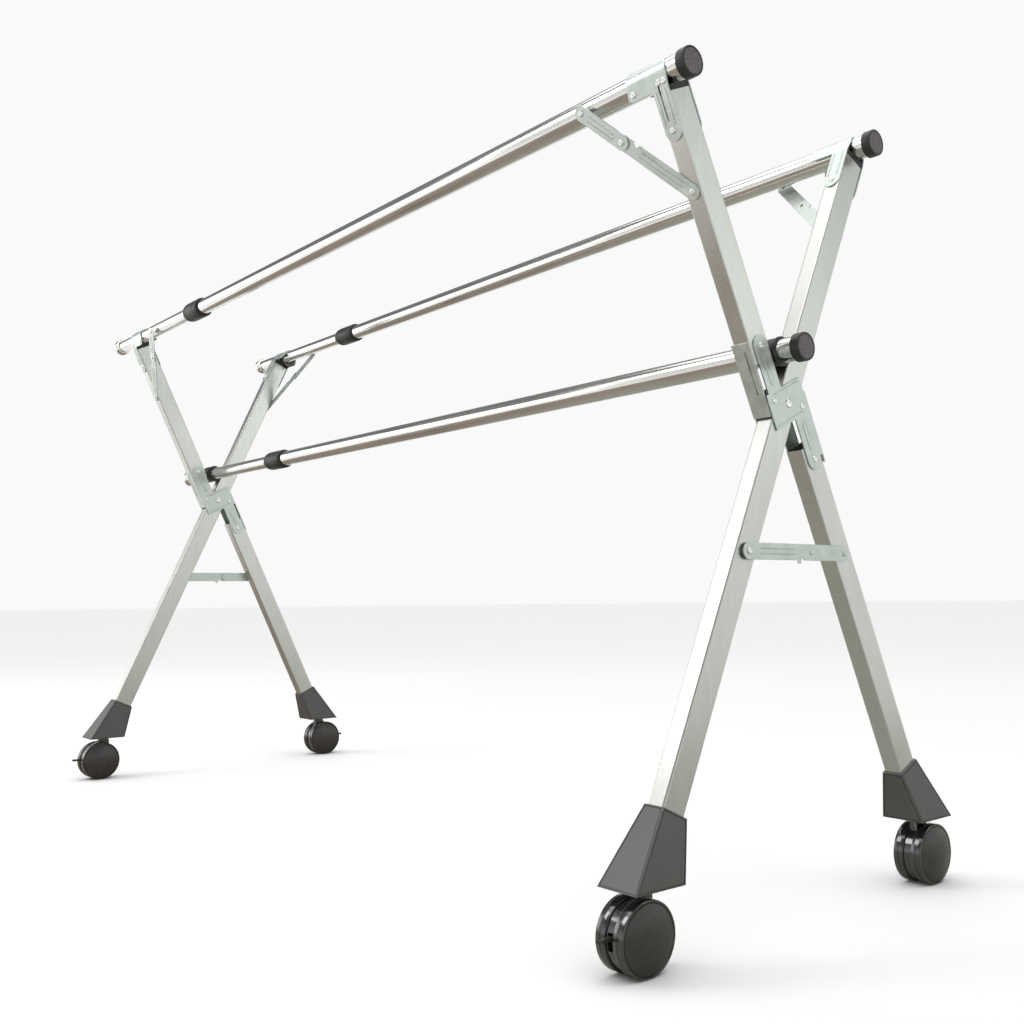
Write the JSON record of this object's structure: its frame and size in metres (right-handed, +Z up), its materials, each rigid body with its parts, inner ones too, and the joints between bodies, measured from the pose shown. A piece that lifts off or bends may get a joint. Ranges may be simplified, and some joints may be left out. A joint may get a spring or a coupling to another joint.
{
  "type": "folding clothes rack",
  "caption": "Folding rolling clothes rack: X-shaped end frames of rectangular tube carry telescopic round hanging rods and stand on swivel casters.",
  "frame": {"origin": "centre of the bounding box at floor level, with the casters' treads on Z = 0", "axes": "+X along the rods towards the end with the flat caps, -Y towards the front of the rack, +Z up"},
  "size_m": [1.931, 0.7012, 1.0605],
  "materials": {
    "leg_steel": "satin stainless",
    "rod_chrome": "polished",
    "ball_chrome": "polished",
    "zinc_plate": "satin zinc plating",
    "cap_plastic": "textured dark grey",
    "trim_plastic": "satin black",
    "foot_plastic": "textured black",
    "wheel_plastic": "glossy black",
    "caster_plastic": "glossy black"
  },
  "bodies": {
    "right_frame_a": {"right_a_leg": "leg_steel", "right_a_plates": "zinc_plate", "right_a_bracket": "zinc_plate", "right_a_stay": "zinc_plate", "right_a_foot": "foot_plastic", "right_a_pad": "trim_plastic", "right_a_rivets": "zinc_plate", "front_rod_tube": "rod_chrome", "front_rod_collar": "trim_plastic", "front_rod_cap": "cap_plastic"},
    "right_frame_b": {"right_b_leg": "leg_steel", "right_b_bracket": "zinc_plate", "right_b_stay": "zinc_plate", "right_b_foot": "foot_plastic", "right_b_pad": "trim_plastic", "right_b_rivets": "zinc_plate", "back_rod_tube": "rod_chrome", "back_rod_collar": "trim_plastic", "back_rod_cap": "cap_plastic"},
    "left_frame_a": {"left_a_leg": "leg_steel", "left_a_plates": "zinc_plate", "left_a_bracket": "zinc_plate", "left_a_stay": "zinc_plate", "left_a_foot": "foot_plastic", "left_a_pad": "trim_plastic", "left_a_rivets": "zinc_plate", "front_rod_slide": "rod_chrome", "front_rod_ball": "ball_chrome"},
    "left_frame_b": {"left_b_leg": "leg_steel", "left_b_bracket": "zinc_plate", "left_b_stay": "zinc_plate", "left_b_foot": "foot_plastic", "left_b_pad": "trim_plastic", "left_b_rivets": "zinc_plate", "back_rod_slide": "rod_chrome", "back_rod_ball": "ball_chrome"},
    "lower_rod": {"lower_rod_tube": "rod_chrome", "lower_rod_collar": "trim_plastic", "lower_rod_cap": "cap_plastic", "lower_rod_sleeve": "trim_plastic"},
    "lower_rod_inner": {"lower_rod_slide": "rod_chrome", "lower_rod_ball": "ball_chrome", "lower_rod_far_sleeve": "trim_plastic"},
    "right_brace_long": {"right_brace_long": "zinc_plate"},
    "right_brace_short": {"right_brace_short": "zinc_plate"},
    "left_brace_long": {"left_brace_long": "zinc_plate"},
    "left_brace_short": {"left_brace_short": "zinc_plate"},
    "caster_rf_housing": {"caster_rf_housing": "caster_plastic"},
    "caster_rf_wheels": {"caster_rf_wheels": "wheel_plastic"},
    "caster_rf_lever": {"caster_rf_lever": "caster_plastic"},
    "caster_rb_housing": {"caster_rb_housing": "caster_plastic"},
    "caster_rb_wheels": {"caster_rb_wheels": "wheel_plastic"},
    "caster_rb_lever": {"caster_rb_lever": "caster_plastic"},
    "caster_lf_housing": {"caster_lf_housing": "caster_plastic"},
    "caster_lf_wheels": {"caster_lf_wheels": "wheel_plastic"},
    "caster_lf_lever": {"caster_lf_lever": "caster_plastic"},
    "caster_lb_housing": {"caster_lb_housing": "caster_plastic"},
    "caster_lb_wheels": {"caster_lb_wheels": "wheel_plastic"},
    "caster_lb_lever": {"caster_lb_lever": "caster_plastic"}
  },
  "joints": [
    {"name": "scissor_fold", "type": "hinge", "parent": "right_frame_a", "child": "right_frame_b", "pos_m": [0.9135, -0.0105, 0.65642], "axis": [1, 0, 0], "range_deg": [0, 31.4]},
    {"name": "extension", "type": "slide", "parent": "right_frame_a", "child": "left_frame_a", "axis": [-1, 0, 0], "range_m": [-0.155, 0.6]},
    {"name": "left_fold", "type": "hinge", "parent": "left_frame_a", "child": "left_frame_b", "pos_m": [-0.8125, -0.0105, 0.65642], "axis": [1, 0, 0], "range_deg": [0, 31.42]},
    {"name": "lower_rod_rise", "type": "slide", "parent": "right_frame_a", "child": "lower_rod", "axis": [0, -0.4258, 0.9048], "range_m": [0, 0.1066]},
    {"name": "lower_extension", "type": "slide", "parent": "lower_rod", "child": "lower_rod_inner", "axis": [-1, 0, 0], "range_m": [-0.1555, 0.6005]},
    {"name": "right_brace_pivot", "type": "hinge", "parent": "right_frame_b", "child": "right_brace_long", "pos_m": [0.9135, -0.10057, 0.465], "axis": [1, 0, 0], "range_deg": [0, 17.99]},
    {"name": "right_brace_knee", "type": "hinge", "parent": "right_brace_long", "child": "right_brace_short", "pos_m": [0.9135, 0.02443, 0.465], "axis": [1, 0, 0], "range_deg": [-134.35, 0]},
    {"name": "left_brace_pivot", "type": "hinge", "parent": "left_frame_b", "child": "left_brace_long", "pos_m": [-0.8125, -0.10057, 0.465], "axis": [1, 0, 0], "range_deg": [0, 17.99]},
    {"name": "left_brace_knee", "type": "hinge", "parent": "left_brace_long", "child": "left_brace_short", "pos_m": [-0.8125, 0.02443, 0.465], "axis": [1, 0, 0], "range_deg": [-134.35, 0]},
    {"name": "caster_rf_swivel", "type": "hinge", "parent": "right_frame_b", "child": "caster_rf_housing", "pos_m": [0.9135, -0.28162, 0.093], "axis": [0, 0, 1], "continuous": true},
    {"name": "caster_rf_roll", "type": "hinge", "parent": "caster_rf_housing", "child": "caster_rf_wheels", "pos_m": [0.9135, -0.29162, 0.042], "axis": [1, 0, 0], "continuous": true},
    {"name": "caster_rf_brake", "type": "hinge", "parent": "caster_rf_housing", "child": "caster_rf_lever", "pos_m": [0.9135, -0.31562, 0.046], "axis": [1, 0, 0], "range_deg": [0, 18]},
    {"name": "caster_rb_swivel", "type": "hinge", "parent": "right_frame_a", "child": "caster_rb_housing", "pos_m": [0.9135, 0.28162, 0.093], "axis": [0, 0, 1], "continuous": true},
    {"name": "caster_rb_roll", "type": "hinge", "parent": "caster_rb_housing", "child": "caster_rb_wheels", "pos_m": [0.9135, 0.29162, 0.042], "axis": [1, 0, 0], "continuous": true},
    {"name": "caster_rb_brake", "type": "hinge", "parent": "caster_rb_housing", "child": "caster_rb_lever", "pos_m": [0.9135, 0.31562, 0.046], "axis": [-1, 0, 0], "range_deg": [0, 18]},
    {"name": "caster_lf_swivel", "type": "hinge", "parent": "left_frame_b", "child": "caster_lf_housing", "pos_m": [-0.8125, -0.28162, 0.093], "axis": [0, 0, 1], "continuous": true},
    {"name": "caster_lf_roll", "type": "hinge", "parent": "caster_lf_housing", "child": "caster_lf_wheels", "pos_m": [-0.8125, -0.29162, 0.042], "axis": [1, 0, 0], "continuous": true},
    {"name": "caster_lf_brake", "type": "hinge", "parent": "caster_lf_housing", "child": "caster_lf_lever", "pos_m": [-0.8125, -0.31562, 0.046], "axis": [1, 0, 0], "range_deg": [0, 18]},
    {"name": "caster_lb_swivel", "type": "hinge", "parent": "left_frame_a", "child": "caster_lb_housing", "pos_m": [-0.8125, 0.28162, 0.093], "axis": [0, 0, 1], "continuous": true},
    {"name": "caster_lb_roll", "type": "hinge", "parent": "caster_lb_housing", "child": "caster_lb_wheels", "pos_m": [-0.8125, 0.29162, 0.042], "axis": [1, 0, 0], "continuous": true},
    {"name": "caster_lb_brake", "type": "hinge", "parent": "caster_lb_housing", "child": "caster_lb_lever", "pos_m": [-0.8125, 0.31562, 0.046], "axis": [-1, 0, 0], "range_deg": [0, 18]}
  ],
  "couplings": [
    {"joint": "left_fold", "follows": "scissor_fold", "ratio": 1},
    {"joint": "lower_rod_rise", "follows": "scissor_fold", "m_per_rad": 0.19359},
    {"joint": "lower_extension", "follows": "extension", "ratio": 1},
    {"joint": "right_brace_pivot", "follows": "scissor_fold", "ratio": 0.56964},
    {"joint": "right_brace_knee", "follows": "scissor_fold", "ratio": -4.2754},
    {"joint": "left_brace_pivot", "follows": "scissor_fold", "ratio": 0.56964},
    {"joint": "left_brace_knee", "follows": "scissor_fold", "ratio": -4.2754}
  ]
}
